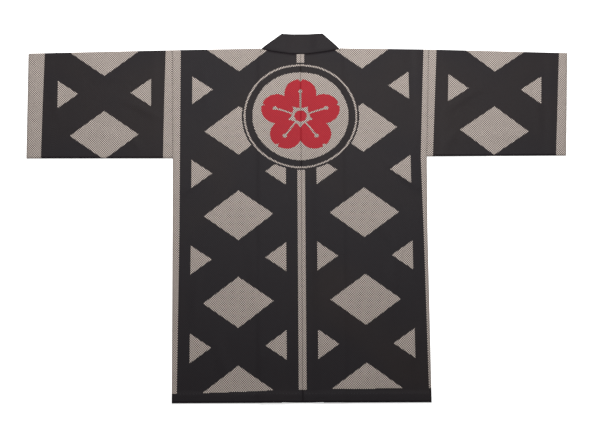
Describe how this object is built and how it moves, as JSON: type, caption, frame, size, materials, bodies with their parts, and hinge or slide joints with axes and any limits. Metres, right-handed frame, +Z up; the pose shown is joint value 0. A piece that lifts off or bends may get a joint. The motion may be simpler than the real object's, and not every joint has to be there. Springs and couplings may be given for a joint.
{
  "type": "happi coat",
  "caption": "Short straight cotton coat with wide sleeves and a collar band down both fronts, laid flat with its back up.",
  "frame": {"origin": "middle of the coat's box, on the surface that it rests on", "axes": "+X across the coat to the wearer's right, +Y from the hem to the collar, +Z up out of the back"},
  "size_m": [1.327, 0.958, 0.0056],
  "materials": {
    "body_left": "dark navy cotton with a pale woven lattice",
    "body_right": "dark navy cotton with a pale woven lattice",
    "sleeve_left": "dark navy cotton with a pale woven lattice",
    "sleeve_right": "dark navy cotton with a pale woven lattice",
    "collar": "plain dark navy cotton, doubled"
  },
  "bodies": {
    "root": {"body_left": "body_left", "body_right": "body_right", "sleeve_left": "sleeve_left", "sleeve_right": "sleeve_right", "collar": "collar"}
  },
  "joints": []
}
